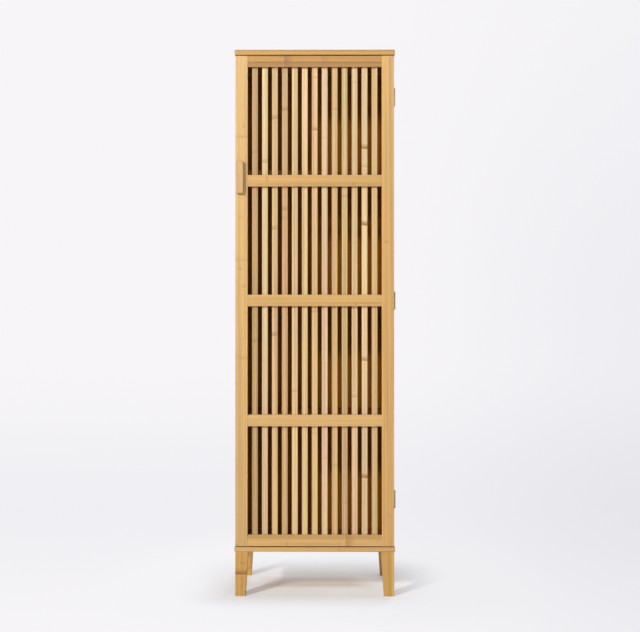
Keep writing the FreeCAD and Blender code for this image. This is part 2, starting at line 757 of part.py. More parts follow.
def leaf(label, face_low, first, screw_face, middle):
    """A hinge leaf from a depth backwards. It has the first knuckle given and every second one after it."""
    face_high = face_low + s.leaf_thick
    low = middle - s.hinge_height / 2
    piece = Piece(label, hinge_x, hinge_y, low)
    plate = rectangle(hinge_x - s.leaf_width, face_low, hinge_x - root_edge, face_high)
    piece.pad("plate", "Z", low, [plate], s.hinge_height)
    knuckle_low = low + knuckle_pitch * first + s.knuckle_gap / 2
    root = rectangle(hinge_x - root_edge, face_low, hinge_x, face_high)
    root_pad = piece.pad("root", "Z", knuckle_low, [root], knuckle_length)
    barrel = Hole(hinge_x, hinge_y, s.knuckle_width)
    barrel_pad = piece.pad("knuckle", "Z", knuckle_low, [barrel], knuckle_length)
    count = (KNUCKLES + 1) // 2 - first
    piece.repeat("knuckles", [root_pad, barrel_pad], "Z", knuckle_pitch * 2 * (count - 1), count)
    piece.cut("bore", "+Z", low, [Hole(hinge_x, hinge_y, hinge_bore)], s.hinge_height)
    heights = [middle + s.leaf_screw_spacing / 2 * way for way in (-1, 1)]
    holes = [pilot(leaf_screw_x, z, hinge_screw) for z in heights]
    piece.cut("screw_holes", "-Y", face_high, holes, s.leaf_thick)
    rim = piece.local("Y", screw_face)
    radius = holes[0].width.value / 2
    depth = (hinge_screw.head - hinge_screw.shank) / 2 - s.joint_fit
    piece.ease(
        "countersinks",
        "Chamfer",
        depth,
        lambda edge: is_round(edge) and lies_at(edge, "Y", rim) and edge.Curve.Radius < radius + SAME_PLACE,
    )
    nodes.append(piece.body)


for name, middle in hinge_middles.items():
    leaf(f"hinge_door_leaf_{name}", door_back, 1, door_back + s.leaf_thick, middle)
    leaf(f"hinge_case_leaf_{name}", side_front - s.leaf_thick, 0, side_front - s.leaf_thick, middle)
pin_profile = [
    (zero, -s.pin_head_height),
    (s.pin_head_width / 2, -s.pin_head_height / 2),
    (s.pin_head_width / 2, zero),
    (s.hinge_pin_width / 2, zero),
    (s.hinge_pin_width / 2, s.hinge_height),
    (s.pin_head_width / 2, s.hinge_height),
    (s.pin_head_width / 2, s.hinge_height + s.pin_head_height / 2),
    (zero, s.hinge_height + s.pin_head_height),
]
hinge_pin = turned("hinge_pin", pin_profile)
hinge_feet = [(hinge_x, hinge_y, middle - s.hinge_height / 2) for middle in hinge_middles.values()]
copies("hinge_pins", hinge_pin, hinge_feet)
door_screw_spots = [(leaf_screw_x, door_back + s.leaf_thick, z) for z in leaf_screw_heights]
case_leaf_spots = [(leaf_screw_x, side_front - s.leaf_thick, z) for z in leaf_screw_heights]
copies("hinge_door_screws", hinge_screw.shape, door_screw_spots, "+Y")
copies("hinge_case_screws", hinge_screw.shape, case_leaf_spots, "-Y")

# Magnetic catch: a housing with two ears screwed up under the top panel, a magnet that stands a little
# proud of it, and a steel strike plate on the back of the door's top rail.
ear_low = ceiling - s.catch_ear_thick
catch_left = catch_x - s.catch_width / 2
catch_right = catch_x + s.catch_width / 2
catch_end = catch_front + s.catch_depth
housing = board("catch_housing", (catch_left, catch_front, ear_low), (catch_right, catch_end, ceiling))
block = rectangle(catch_left + s.catch_ear, catch_front, catch_right - s.catch_ear, catch_end)
housing.pad("block", "Z", ceiling - s.catch_height, [block], s.catch_height)
magnet_low = ceiling - s.catch_ear_thick - s.magnet_height - s.magnet_reach
magnet_left = catch_x - s.magnet_width / 2
magnet_right = catch_x + s.magnet_width / 2
magnet_hole = rectangle(
    magnet_left - s.joint_fit,
    magnet_low - s.joint_fit,
    magnet_right + s.joint_fit,
    magnet_low + s.magnet_height + s.joint_fit,
)
magnet_depth = s.catch_depth - s.catch_ear_thick
housing.cut("magnet_hole", "+Y", catch_front, [magnet_hole], magnet_depth)
housing.cut("screw_holes", "-Z", ceiling, catch_pilots, s.catch_ear_thick)
board(
    "catch_magnet",
    (magnet_left, magnet_front, magnet_low),
    (magnet_right, catch_front + magnet_depth, magnet_low + s.magnet_height),
)
copies("catch_screws", catch_screw.shape, [(x, y, ear_low) for x, y in catch_screw_spots], "-Z")
strike = board(
    "strike_plate",
    (catch_x - s.strike_width / 2, door_back, strike_low),
    (catch_x + s.strike_width / 2, door_back + s.strike_thick, strike_low + s.strike_height),
)
strike.cut("screw_holes", "-Y", door_back + s.strike_thick, strike_pilots, s.strike_thick)
countersink(strike, "countersinks", strike_screw, "Y", door_back + s.strike_thick)
strike_face = door_back + s.strike_thick
copies("strike_screws", strike_screw.shape, [(x, strike_face, z) for x, z in strike_screw_spots], "+Y")

doc.recompute()
failed = [item.Label for item in doc.Objects if {"Invalid", "Error"} & set(item.State)]
if failed:
    raise SystemExit(f"these objects failed: {failed}")
for node in nodes:
    if node.Shape.isNull() or not node.Shape.isValid():
        raise SystemExit(f"{node.Label} has no valid shape")

os.makedirs("parts", exist_ok=True)
for node in nodes:
    node.Shape.exportStep(os.path.join("parts", f"{node.Label}.step"))
print(f"{len(nodes)} parts written")
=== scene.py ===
import math

import bpy
from mathutils import Matrix, Vector


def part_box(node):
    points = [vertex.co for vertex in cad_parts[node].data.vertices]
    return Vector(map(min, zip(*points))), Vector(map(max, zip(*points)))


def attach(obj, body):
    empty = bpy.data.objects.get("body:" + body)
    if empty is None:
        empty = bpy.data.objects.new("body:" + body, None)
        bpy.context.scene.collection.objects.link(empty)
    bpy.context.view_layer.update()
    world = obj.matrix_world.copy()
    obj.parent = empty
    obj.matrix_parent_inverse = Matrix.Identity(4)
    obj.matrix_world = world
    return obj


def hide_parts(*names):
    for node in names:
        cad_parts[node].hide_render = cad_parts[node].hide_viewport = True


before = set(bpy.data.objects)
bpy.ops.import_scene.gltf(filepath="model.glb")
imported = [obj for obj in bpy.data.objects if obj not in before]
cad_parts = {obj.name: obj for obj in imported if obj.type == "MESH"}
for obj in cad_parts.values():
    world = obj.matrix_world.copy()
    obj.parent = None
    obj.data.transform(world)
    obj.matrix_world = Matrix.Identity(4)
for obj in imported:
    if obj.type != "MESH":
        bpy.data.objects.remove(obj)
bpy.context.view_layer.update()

# Side panels: two full-height boards of laminated bamboo. Strips 20 mm wide are glued edge to edge with
# their grain upright, the board is planed and sanded, and it gets a clear satin lacquer.


class Wire:
    """A socket in a material's nodes, so that a pattern can be written as a sum."""

    def __init__(self, tree, socket=None):
        self.tree = tree
        self.socket = socket

    def node(self, kind, settings, values, out=0):
        """Adds a node, sets it up and returns one of its outputs."""
        made = self.tree.nodes.new(kind)
        for name, setting in settings.items():
            setattr(made, name, setting)
        for name, value in values.items():
            if isinstance(value, Wire):
                self.tree.links.new(value.socket, made.inputs[name])
            else:
                made.inputs[name].default_value = value
        return Wire(self.tree, made.outputs[out])

    def maths(self, operation, *values):
        return self.node("ShaderNodeMath", {"operation": operation}, dict(enumerate(values)))

    def __add__(self, other):
        return self.maths("ADD", self, other)

    __radd__ = __add__

    def __sub__(self, other):
        return self.maths("SUBTRACT", self, other)

    def __rsub__(self, other):
        return self.maths("SUBTRACT", other, self)

    def __mul__(self, other):
        return self.maths("MULTIPLY", self, other)

    __rmul__ = __mul__

    def __truediv__(self, other):
        return self.maths("DIVIDE", self, other)

    def floor(self):
        return self.maths("FLOOR", self)

    def size(self):
        return self.maths("ABSOLUTE", self)

    def between(self, low, high):
        """0 at `low` and beyond, 1 at `high` and beyond, with a soft step from one to the other."""
        settings = {"interpolation_type": "SMOOTHSTEP"}
        return self.node("ShaderNodeMapRange", settings, {"Value": self, "From Min": low, "From Max": high})

    def blend(self, first, second):
        """A colour that goes from the first to the second as this goes from 0 to 1."""
        values = {"Factor": self, 6: first, 7: second}
        return self.node("ShaderNodeMix", {"data_type": "RGBA"}, values, out=2)

    def tinted(self, strength, tint):
        """This colour times a tint, in full where the strength is 1 and not at all where it is 0."""
        settings = {"data_type": "RGBA", "blend_type": "MULTIPLY"}
        return self.node("ShaderNodeMix", settings, {"Factor": strength, 6: self, 7: tint}, out=2)

    def coordinate(self, kind):
        """Where the surface lies, or the way it faces, as a Texture Coordinate node gives it."""
        return self.node("ShaderNodeTexCoord", {}, {}, out=kind)

    def split(self, letters="XYZ"):
        """This point's distances along the named axes."""
        return [self.node("ShaderNodeSeparateXYZ", {}, {0: self}, out=letter) for letter in letters]

    def point(self, x, y, z):
        return self.node("ShaderNodeCombineXYZ", {}, {0: x, 1: y, 2: z})

    def noise(self, point, detail=2.0, roughness=0.5):
        values = {"Vector": point, "Scale": 1.0, "Detail": detail, "Roughness": roughness}
        return self.node("ShaderNodeTexNoise", {}, values)

    def chance(self, point):
        """A number from 0 to 1 that stays the same for each point."""
        return self.node("ShaderNodeTexWhiteNoise", {}, {"Vector": point})


def colour(red, green, blue):
    """A colour as a paint card gives it, from 0 to 255, as the renderer wants it."""
    shares = [level / 255 for level in (red, green, blue)]
    return [s / 12.92 if s < 0.04045 else ((s + 0.055) / 1.055) ** 2.4 for s in shares] + [1.0]


def lighter(tone, amount):
    """A colour made lighter, or darker by an amount under 1."""
    return [level * amount for level in tone[:3]] + [1.0]


def tone_change(tone, wanted):
    """The tint that turns a tone into the wanted one."""
    return [level / first for level, first in zip(wanted[:3], tone)] + [1.0]


def new_material(name):
    material = bpy.data.materials.new(name)
    material.use_nodes = True
    tree = material.node_tree
    shader = tree.nodes["Principled BSDF"]
    return material, Wire(tree), shader


def feed(wire, shader, **links):
    """Links wires to the shader's sockets, whose names are given with underscores."""
    for name, source in links.items():
        wire.tree.links.new(source.socket, shader.inputs[name.replace("_", " ")])


def dress(material, *nodes):
    """Gives a material to the CAD nodes of that name."""
    for node in nodes:
        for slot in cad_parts[node].material_slots:
            slot.material = material


# Lengths are in metres, and marks are counted on a metre of board.
LACQUER_COAT = 0.5
LACQUER_COAT_ROUGHNESS = 0.3
LACQUERED_ROUGHNESS = 0.42
OILED_ROUGHNESS = 0.62
OILED_SPECULAR = 0.12
RING_BROWN = colour(148, 98, 38)
ROSY = colour(253, 238, 226)
OLIVE = colour(248, 250, 206)
GLUE_LINE = 0.00022
TRIMMED_OFF = 0.0043
PLANED_OFF = 0.0013
CANE_SHIFT = 9.0
STREAKS_ALONG = 1.2
WARMTH_ALONG = 1.6
CLOUDS_ALONG = 3.0
CLOUDS_ACROSS = 12.0
THREADS_ALONG = 12.0
THREADS_ACROSS = 1300.0
DASHES_ALONG = 55.0
DASHES_ACROSS = 2100.0
PORES = 900.0
RING_BOW = 0.006
FAINT_RING_STAIN = 0.013
RIDGE_DROP = 0.0024
BOARD_RELIEF = 0.0004


def grain_axes(wire, grain):
    """Where a point lies along the grain, across the face and through the thickness, in metres, and how
    squarely the surface there faces along the grain."""
    along, across, through = wire.coordinate("Object").split(grain)
    facing = wire.coordinate("Normal").split(grain[0])[0]
    return along, across, through, facing.size()


def ring_stain(above, fade):
    """A growth ring's stain: it starts sharply and fades out along the cane."""
    return above.between(-0.0012, 0.0014) * (1.0 - above.between(0.003, fade))


def ring_ridge(above):
    """The narrow ridge that stands just below a growth ring's stain."""
    return 1.0 - (above + RIDGE_DROP).size().between(0.0004, 0.002)


def bamboo(
    node,
    grain,
    tone,
    seed,
    strip=0.020,
    ply=0.0055,
    spacing=0.34,
    rings=(),
    fade=0.018,
    streaks=115.0,
    contrast=0.7,
    core_and_shade=None,
    upper=None,
    bare=False,
):
    """Gives a CAD node laminated bamboo. `grain` names the axis along the grain, across the strips and
    through the plies. `rings` gives the place and the strength of the growth rings that stand out, and
    `fade` how far their stain runs. `streaks` is how many soft streaks a metre of face has, and
    `core_and_shade` the tone of the plies behind the first one: the back panel's own paler core, and on
    the rails a darker tint painted as shade. A bare board is oiled and not lacquered, and `upper` is a
    darker tone painted as shade on an upper face that is."""
    material, wire, shader = new_material(f"{node}_bamboo")
    along, across, through, end_facing = grain_axes(wire, grain)
    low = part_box(node)[0]
    first_strip, first_ply = (low["XYZ".index(letter)] for letter in grain[1:])

    # Each strip is a cane of its own, with a tone of its own.
    lane = (across - (first_strip - TRIMMED_OFF)) / strip
    lane_number = lane.floor()
    layer = ((through - (first_ply - PLANED_OFF)) / ply).floor()
    cane_tone = wire.chance(wire.point(lane_number, layer, seed))
    cane_hue = wire.chance(wire.point(lane_number + 7.3, layer, seed + 3.1))

    # Fibres: soft streaks some millimetres wide, fine dark threads and short dashes, and slow clouds.
    shift = cane_tone * CANE_SHIFT
    soft = wire.point(along * STREAKS_ALONG + shift, across * streaks + shift, through * streaks)
    streak = wire.noise(soft, 3.0, 0.55)
    broad = wire.point(along * WARMTH_ALONG + seed, across * streaks * 0.9 + seed, through * 60.0)
    warm = wire.noise(broad, 1.0)
    fine = wire.point(along * THREADS_ALONG + shift, across * THREADS_ACROSS, through * THREADS_ACROSS)
    thread = wire.noise(fine, 2.0, 0.6)
    slow = wire.point(along * CLOUDS_ALONG + seed, across * CLOUDS_ACROSS, through * CLOUDS_ACROSS + shift)
    cloud = wire.noise(slow, 2.0)
    short = wire.point(along * DASHES_ALONG + shift, across * DASHES_ACROSS, through * DASHES_ACROSS)
    dash = wire.noise(short, 1.0).between(0.60, 0.70)

    # Growth rings: at places of their own in each strip, and those that stand out.
    bow = (wire.noise(wire.point(lane * 2.0, layer, seed + 5.0), 1.0) - 0.5) * RING_BOW
    place = (along + bow) / spacing + cane_tone * 7.0
    cells = {"W": place, "Scale": 1.0, "Randomness": 0.7}
    nearest = wire.node("ShaderNodeTexVoronoi", {"voronoi_dimensions": "1D"}, cells, out="W")
    depth = wire.chance(wire.point(nearest * 3.7, lane_number, seed)).between(0.2, 1.0)
    above = (place - nearest) * spacing
    stain = ring_stain(above, FAINT_RING_STAIN) * depth * 0.3
    ridge = ring_ridge(above) * depth
    for height, strength in rings:
        above = along + bow - height
        stain = wire.maths("MAXIMUM", stain, ring_stain(above, fade) * strength)
        ridge = ridge + ring_ridge(above) * strength

    # Glue lines between the strips, and the dotted section where the grain ends.
    glue = (lane - lane_number - 0.5).size().between(0.5 - GLUE_LINE / strip, 0.5)
    end = end_facing.between(0.75, 0.9)
    section = {"Vector": wire.point(along * PORES, across * PORES, through * PORES), "Scale": 1.0}
    from_pore = wire.node("ShaderNodeTexVoronoi", {}, section, out="Distance")
    pore = (1.0 - from_pore.between(0.18, 0.42)) * end

    level = (streak - 0.5) * 2.2 * contrast + (cane_tone - 0.5) * 0.5 * contrast + (cloud - 0.5) * 0.5 + 0.5
    board = level.between(-0.1, 1.1).blend(lighter(tone, 0.76), lighter(tone, 1.24))
    hue = ((warm - 0.5) * 3.2 + (cane_hue - 0.5) * 0.7 + 0.5).between(-0.1, 1.1).blend(ROSY, OLIVE)
    board = board.tinted(0.8 * contrast, hue)
    # Behind the first ply the board takes its core tone, which on the rails is a darker tint painted as
    # shade.
    if core_and_shade:
        board = board.tinted(layer.between(0.0, 1.0), tone_change(tone, core_and_shade))
    # Painted shade: an upper face takes a darker tone, as the bottom panel's inside does.
    if upper:
        facing_up = wire.coordinate("Normal").split("Z")[0].between(0.9, 0.99)
        board = board.tinted(facing_up, tone_change(tone, upper))
    marks = (
        # how strongly each kind shows, and its colour
        (thread.between(0.52, 0.74) * 0.2, lighter(tone, 0.55)),
        (dash * 0.22, lighter(tone, 0.5)),
        (ridge * 0.2, lighter(tone, 1.2)),
        (stain * (streak * 1.4 + 0.25), RING_BROWN),
        (glue * 0.25, lighter(tone, 0.45)),
        (end * 0.35, lighter(tone, 0.6)),
        (pore * 0.5, RING_BROWN),
    )
    for strength, shade in marks:
        board = strength.blend(board, shade)

    height = (thread - 0.5) * 0.35 + ridge * 0.6 - stain * 0.3 - glue * 0.6 - pore * 0.5 - dash * 0.3
    bump = {"Strength": 0.35, "Distance": BOARD_RELIEF, "Height": height}
    roughness = OILED_ROUGHNESS if bare else LACQUERED_ROUGHNESS
    feed(
        wire,
        shader,
        Base_Color=board,
        Roughness=roughness + thread * 0.10 + end * 0.15 + cloud * 0.06,
        Normal=wire.node("ShaderNodeBump", {}, bump),
    )
    if bare:
        shader.inputs["Specular IOR Level"].default_value = OILED_SPECULAR
    else:
        shader.inputs["Coat Weight"].default_value = LACQUER_COAT
        shader.inputs["Coat Roughness"].default_value = LACQUER_COAT_ROUGHNESS
    if upper:
        feed(wire, shader, Coat_Weight=(1.0 - facing_up) * LACQUER_COAT)
    dress(material, node)


CASE_TONE = colour(214, 166, 104)
bamboo("side_panel_left", "ZYX", CASE_TONE, seed=1.0)
bamboo("side_panel_right", "ZYX", CASE_TONE, seed=2.0)

# Top and bottom panels: the same board with its grain across the cabinet and softly rounded edges, held to
# the side panels by dowels. The bottom panel's upper face is inside and oiled, and its darker tone is
# partly the bamboo's own and partly painted shade.
INNER_TONE_AND_SHADE = colour(168, 114, 52)
bamboo("top_panel", "XYZ", colour(189, 145, 75), seed=3.0)
bamboo("bottom_panel", "XYZ", colour(210, 166, 106), seed=4.0, upper=INNER_TONE_AND_SHADE)

# Back panel: thin bamboo ply with its grain upright, screwed into the side panels' rebates. Its inner ply
# is a dark caramel brown, partly its own tone and partly painted shade inside the cabinet, and the plies
# behind it are as pale as the case.
bamboo("back_panel", "ZXY", colour(166, 109, 39), seed=5.0, strip=0.030, core_and_shade=CASE_TONE, bare=True)

# Shelves: three loose boards with their grain across the cabinet, oiled and not lacquered. Each lies on
# four round pins of plated steel.
LEVELS = ("upper", "middle", "lower")
# The shelves' darker tone is partly the bamboo's own and partly painted shade inside the cabinet.
for number, level in enumerate(LEVELS):
    bamboo(f"shelf_{level}", "XYZ", INNER_TONE_AND_SHADE, seed=6.0 + number, bare=True)

BRUSH_MARKS = 900.0
MARK_STRETCH = 0.12
TARNISH_ACROSS = 90.0
TARNISH_ALONG = 60.0
METAL_RELIEF = 0.0001


def metal(name, tone, rough, seed):
    """Plated steel: a fine brushed bloom, and a little tarnish in patches."""
    material, wire, shader = new_material(name)
    x, y, z = wire.coordinate("Object").split()
    fine = wire.point(x * BRUSH_MARKS, y * BRUSH_MARKS, z * BRUSH_MARKS * MARK_STRETCH + seed)
    brushed = wire.noise(fine, 2.0)
    tarnish = wire.point(x * TARNISH_ACROSS + seed, y * TARNISH_ACROSS, z * TARNISH_ALONG)
    patch = wire.noise(tarnish, 3.0, 0.6)
    bump = {"Strength": 0.2, "Distance": METAL_RELIEF, "Height": brushed}
    feed(
        wire,
        shader,
        Base_Color=patch.between(0.3, 0.75).blend(lighter(tone, 0.82), lighter(tone, 1.1)),
        Roughness=rough + (brushed - 0.5) * 0.16 + (patch - 0.5) * 0.1,
        Normal=wire.node("ShaderNodeBump", {}, bump),
    )
    shader.inputs["Metallic"].default_value = 1.0
    return material


dress(metal("pin_steel", colour(190, 188, 182), 0.32, 1.0), "shelf_pins")

# Legs: square posts of laminated bamboo that taper towards the floor, with rounded edges. Each is held by a
# threaded stud, which runs into a zinc-plated insert in the bottom panel.
LEG_TONE = colour(203, 157, 82)
LEG_RINGS = {"front_left": {0.063: 1.0}}
for number, corner in enumerate(("front_left", "front_right", "back_right", "back_left")):
    rings = LEG_RINGS.get(corner, {}).items()
    bamboo(f"leg_{corner}", "ZXY", LEG_TONE, 10.0 + number, strip=0.0175, spacing=0.2, rings=rings)
dress(metal("stud_steel", colour(176, 172, 164), 0.35, 2.0), "leg_studs")
dress(metal("insert_zinc", colour(186, 184, 176), 0.42, 3.0), "leg_inserts")

# Door frame: two stiles with upright grain, and five rails tenoned between them. The head and foot rails
# have a lip along the slats, cut back from the face. Behind their first thin ply the rails are painted
# darker, as shade in the lips' recess.
STILES = {
    "left": (colour(212, 172, 108), {1.340: 0.22, 0.979: 0.2, 0.692: 0.2}),
    # The right stile is darker, partly its own tone and partly painted shade away from the key light.
    "right": (colour(205, 160, 95), {}),
}
for number, (side, (tone, rings)) in enumerate(STILES.items()):
    bamboo(f"door_stile_{side}", "ZXY", tone, 20.0 + number, strip=0.012, rings=rings.items(), contrast=0.6)
PAINTED_LIP_SHADE_SHARES = (0.90, 0.89, 0.80)
RAILS = {
    # The head rail is darker, partly its own tone and partly painted shade under the top panel's overhang.
    "top": (colour(180, 130, 55), {-0.090: 0.8, 0.020: 0.3}),
    "upper": (colour(205, 161, 92), {}),
    "middle": (colour(204, 161, 96), {}),
    "lower": (colour(214, 170, 110), {}),
    "bottom": (colour(211, 168, 103), {0.090: 0.5}),
}
for number, (level, (tone, rings)) in enumerate(RAILS.items()):
    bamboo(
        f"door_rail_{level}",
        "XZY",
        tone,
        22.0 + number,
        strip=0.017,
        ply=0.0025,
        rings=rings.items(),
        fade=0.035,
        contrast=0.6,
        core_and_shade=[part * share for part, share in zip(tone, PAINTED_LIP_SHADE_SHARES)],
    )

# Slats: thirteen upright strips behind the rails, each split from another cane. They keep the growth rings
# of their cane across their whole width, and are glued into the rebates at the back of the frame.
SLAT_TONES = {
    "fawn_and_shade": colour(185, 150, 112),
    "straw": colour(204, 175, 132),
    "tan": colour(199, 167, 122),
    "cream": colour(215, 184, 153),
    "pale": colour(229, 202, 168),
}
SLAT_CANES = (
    # The first slat is darker, partly its own tone and partly painted shade beside the left stile.
    ("fawn_and_shade", {0.742: 0.4}),
    ("pale", {1.269: 0.4}),
    ("straw", {1.398: 0.6, 1.073: 0.45, 0.761: 0.5}),
    ("tan", {1.422: 0.5, 1.129: 0.4}),
    ("cream", {}),
    ("cream", {}),
    ("straw", {1.364: 0.5}),
    ("pale", {}),
    ("tan", {}),
    ("straw", {}),
    ("cream", {}),
    ("pale", {1.310: 1.0, 1.085: 0.9, 0.687: 0.65, 0.344: 0.9}),
    ("straw", {}),
)
for number, (cane, rings) in enumerate(SLAT_CANES, start=1):
    bamboo(
        f"slat_{number:02d}",
        "ZXY",
        SLAT_TONES[cane],
        30.0 + number,
        strip=0.023,
        rings=rings.items(),
        streaks=170.0,
        contrast=1.3,
    )

# Handle: a plain bar of the same lacquered bamboo with its edges rounded by hand, held on the left stile
# by two screws from behind.
bamboo("handle", "ZXY", colour(198, 161, 113), 50.0, strip=0.010)

# Hinges: three small butt hinges of satin plated steel, each with a leaf on the case, a leaf on the door
# and a headed pin. Their knuckles show at the case's right edge.
leaves = [f"hinge_{side}_leaf_{level}" for side in ("case", "door") for level in LEVELS]
dress(metal("hinge_steel", colour(212, 198, 180), 0.36, 4.0), "hinge_pins", *leaves)

# Screws: plated steel, with a rolled thread and a cross recess punched into the head. Sunk heads lie flush
# in a leaf, a plate or a board, and pan heads stand on the wood. All sizes are in metres.
SCREW_SIDES = 20
THREAD_PITCH = 0.42
THREAD_ROOT = 0.76
ROOT_START = 0.4
ROOT_END = 0.6
POINT_LENGTH = 0.003
RIM = 0.00012
PAN_PROFILE = ((0.3, 0), (0.42, 0.25), (0.5, 0.6), (0.5, 1))
PUNCH_ARM = 0.16
PUNCH_REACH = 0.3
PUNCH_TAPER = 0.45
PAN_RECESS = 0.7
SUNK_RECESS = 0.4
RECESS_TURN = 0.7
SMOOTH_ANGLE = math.radians(40)
HINGE_SCREW_REACH = 0.015
SCREWS = {
    # the body it rides on, the way its head faces, its shank, head and length, its head's crown, and how
    # many stand along X, Y and Z
    "back_screws": ("case", (0, 1, 0), 0.0030, 0.0052, 0.018, 0.0, (2, 1, 5)),
    "case_screws": ("case", (0, 0, -1), 0.0050, 0.0090, 0.048, 0.0032, (2, 2, 1)),
    "catch_screws": ("case", (0, 0, -1), 0.0030, 0.0060, 0.014, 0.0020, (2, 1, 1)),
    "strike_screws": ("door", (0, 1, 0), 0.0024, 0.0046, 0.012, 0.0, (2, 1, 1)),
    "handle_screws": ("door", (0, 1, 0), 0.0040, 0.0075, 0.027, 0.0026, (1, 1, 2)),
    "hinge_case_screws": ("case", (0, -1, 0), 0.0024, 0.0046, 0.012, 0.0, (1, 1, 6)),
    "hinge_door_screws": ("door", (0, 1, 0), 0.0024, 0.0046, 0.012, 0.0, (1, 1, 6)),
}
screw_steel = metal("screw_steel", colour(188, 184, 174), 0.3, 5.0)
bpy.ops.object.select_all(action="DESELECT")


def pick(piece, kind, wanted):
    """Goes into edit mode with only the wanted faces or corners of a piece selected."""
    bpy.ops.object.mode_set(mode="EDIT")
    bpy.ops.mesh.select_mode(type=kind)
    bpy.ops.mesh.select_all(action="DESELECT")
    bpy.ops.object.mode_set(mode="OBJECT")
    for item in piece.data.polygons if kind == "FACE" else piece.data.vertices:
        item.select = wanted(item)
    bpy.ops.object.mode_set(mode="EDIT")


def turn_outwards():
    """Makes every face point outwards and leaves edit mode."""
    bpy.ops.mesh.select_all(action="SELECT")
    bpy.ops.mesh.normals_make_consistent(inside=False)
    bpy.ops.object.mode_set(mode="OBJECT")


def screw_outline(shank, head, length, crown):
    """Half of a screw's outline, from the top of its head at Z 0 to its point, as widths and heights."""
    if crown:
        outline = [(head * width, -crown * drop) for width, drop in PAN_PROFILE]
        outline.append((shank / 2, -crown - RIM))
    else:
        outline = [(head / 2 - RIM, 0), (head / 2, -RIM), (shank / 2, (shank - head) / 2)]
    pitch = shank * THREAD_PITCH
    root = shank / 2 * THREAD_ROOT
    thread_top = outline[-1][1]
    turns = int((length + crown + thread_top - POINT_LENGTH) / pitch)
    for turn in range(turns):
        crest = thread_top - turn * pitch
        outline.append((root, crest - pitch * ROOT_START))
        outline.append((root, crest - pitch * ROOT_END))
        outline.append((shank / 2, crest - pitch))
    return outline + [(shank / 20, -length - crown)]


def make_screw(shank, head, length, crown):
    """One screw along Z with the top of its head at the origin, extruded ring by ring and then punched."""
    outline = screw_outline(shank, head, length, crown)
    width, top = outline[0]
    bpy.ops.mesh.primitive_circle_add(
        vertices=SCREW_SIDES, radius=width, fill_type="NGON", location=(0, 0, top)
    )
    made = bpy.context.object
    bpy.ops.object.mode_set(mode="EDIT")
    for next_width, level in outline[1:]:
        bpy.ops.mesh.extrude_region_move(TRANSFORM_OT_translate={"value": (0, 0, level - top)})
        share = next_width / width
        bpy.ops.transform.resize(value=(share, share, 1), center_override=(0, 0, level))
        width, top = next_width, level
    bpy.ops.mesh.merge(type="CENTER")
    turn_outwards()

    # The punch is a cross whose four arms narrow towards their bottom.
    arm_width = head * PUNCH_ARM
    deep = crown * PAN_RECESS or (head - shank) * SUNK_RECESS
    bpy.ops.mesh.primitive_cube_add(size=1, scale=(arm_width, arm_width, deep * 2))
    bpy.ops.object.transform_apply(location=False, rotation=False, scale=True)
    punch = bpy.context.object
    pick(punch, "FACE", lambda face: abs(face.normal.z) < 0.5)
    bpy.ops.mesh.extrude_faces_move(TRANSFORM_OT_shrink_fatten={"value": head * PUNCH_REACH})
    pick(punch, "VERT", lambda corner: corner.co.z < 0)
    bpy.ops.transform.resize(value=(PUNCH_TAPER, PUNCH_TAPER, 1), center_override=(0, 0, 0))
    turn_outwards()
    recess = made.modifiers.new("recess", "BOOLEAN")
    recess.object = punch
    recess.solver = "EXACT"
    bpy.ops.object.select_all(action="DESELECT")
    made.select_set(True)
    bpy.context.view_layer.objects.active = made
    bpy.ops.object.modifier_apply(modifier="recess")
    bpy.ops.object.shade_smooth_by_angle(angle=SMOOTH_ANGLE)
    bpy.data.objects.remove(punch)
    return made


for node, (body, way, shank, head, length, crown, counts) in SCREWS.items():
    low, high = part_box(node)
    rows = []
    for axis, count in enumerate(counts):
        first, last = low[axis] + head / 2, high[axis] - head / 2
        rows.append([first + (last - first) * step / max(count - 1, 1) for step in range(count)])
        if way[axis]:
            rows[axis] = [high[axis] if way[axis] > 0 else low[axis]]
    if node.startswith("hinge"):
        leaf_boxes = [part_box(node.replace("screws", f"leaf_{level}")) for level in LEVELS]
        middles = [(leaf_low.z + leaf_high.z) / 2 for leaf_low, leaf_high in leaf_boxes]
        rows[2] = [middle + side * HINGE_SCREW_REACH for middle in middles for side in (-1, 1)]
    spots = [(x, y, z) for x in rows[0] for y in rows[1] for z in rows[2]]
    pattern = make_screw(shank, head, length, crown)
    aim = Vector(way).to_track_quat("Z", "Y").to_matrix().to_4x4()
    driven = []
    for number, spot in enumerate(spots):
        copy = pattern.copy()
        copy.data = pattern.data.copy()
        copy.data.transform(Matrix.Translation(spot) @ aim @ Matrix.Rotation(number * RECESS_TURN, 4, "Z"))
        bpy.context.collection.objects.link(copy)
        driven.append(copy)
    bpy.data.objects.remove(pattern)
    for copy in driven:
        copy.select_set(True)
    bpy.context.view_layer.objects.active = driven[0]
    bpy.ops.object.join()
    joined = bpy.context.object
    joined.name = node.replace("screws", "screw_set")
    joined.data.materials.append(screw_steel)
    joined.select_set(False)
    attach(joined, body)
    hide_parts(node)

# Dowels: eight plain beech pegs with a fine straight grain, glued into blind holes where the side panels
# meet the top and bottom panels. Nothing of them shows.
bamboo("case_dowels", "ZXY", colour(214, 184, 140), 60.0, contrast=0.4)

# Magnetic catch: a moulded housing with a ferrite magnet, screwed up under the top panel, and a strike
# plate of plated steel on the back of the door's top rail.
PEBBLES = 1500.0
BLOTCHES = 60.0
PEBBLE_RELIEF = 0.0001


